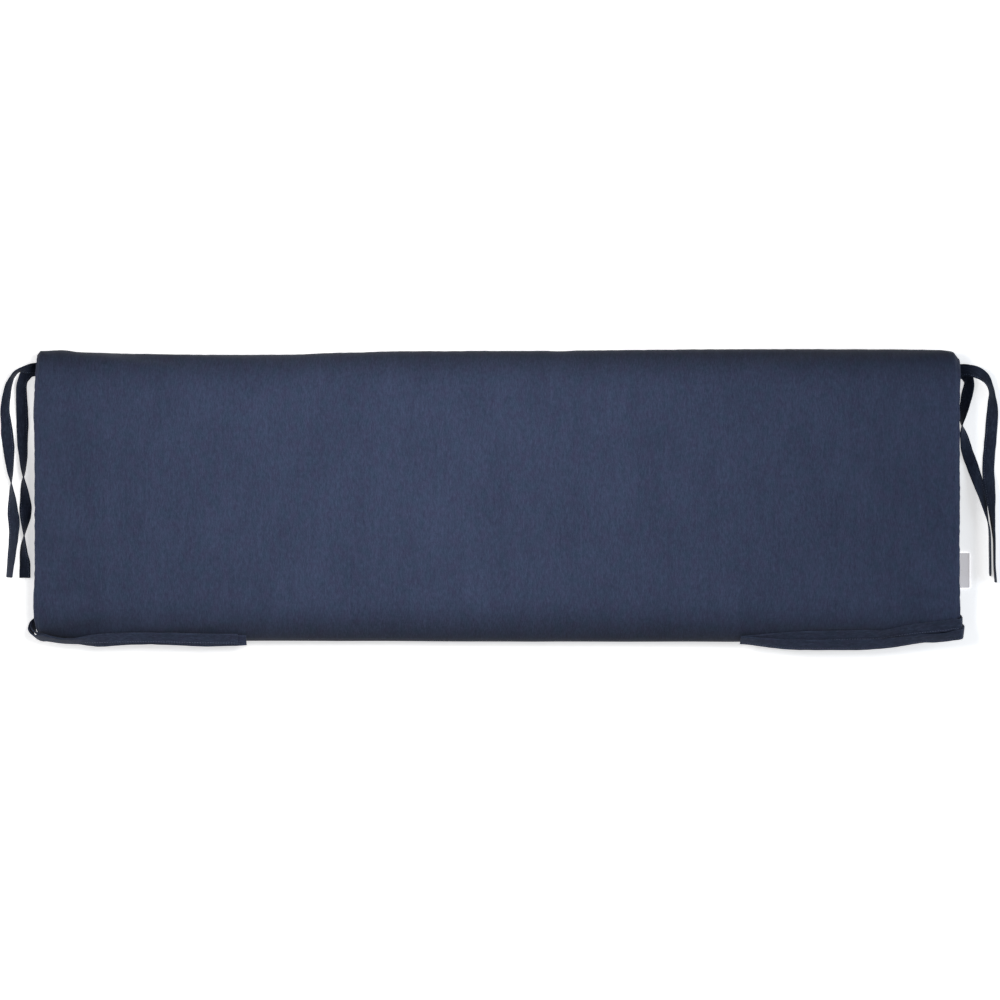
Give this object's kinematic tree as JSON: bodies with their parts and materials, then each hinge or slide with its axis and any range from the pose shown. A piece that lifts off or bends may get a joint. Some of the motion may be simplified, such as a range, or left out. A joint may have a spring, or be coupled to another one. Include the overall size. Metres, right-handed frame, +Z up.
{
  "type": "bench cushion",
  "caption": "Long filled bench cushion of woven outdoor cloth with rolled long edges, sewn end panels, cloth ties in pairs at its corners and a small blank label.",
  "frame": {"origin": "middle of the flat underside, at the level of the surface the cushion lies on", "axes": "+X along the length to the end with the label, +Y across to the back edge, +Z up through the face"},
  "size_m": [1.3194, 0.3927, 0.065],
  "materials": {
    "navy_cloth": "matt heathered woven acrylic, fine lengthwise slubs across the depth",
    "navy_tie_cloth": "the same cloth folded in four and stitched along one edge",
    "white_ribbon": "satin-woven label ribbon, blank"
  },
  "bodies": {
    "root": {"cushion": "navy_cloth", "tie_back_left_outer": "navy_tie_cloth", "tie_back_left_inner": "navy_tie_cloth", "tie_back_right_outer": "navy_tie_cloth", "tie_back_right_inner": "navy_tie_cloth", "tie_front_left_upper": "navy_tie_cloth", "tie_front_left_under": "navy_tie_cloth", "tie_front_right_inner": "navy_tie_cloth", "tie_front_right_outer": "navy_tie_cloth", "label": "white_ribbon"}
  },
  "joints": []
}
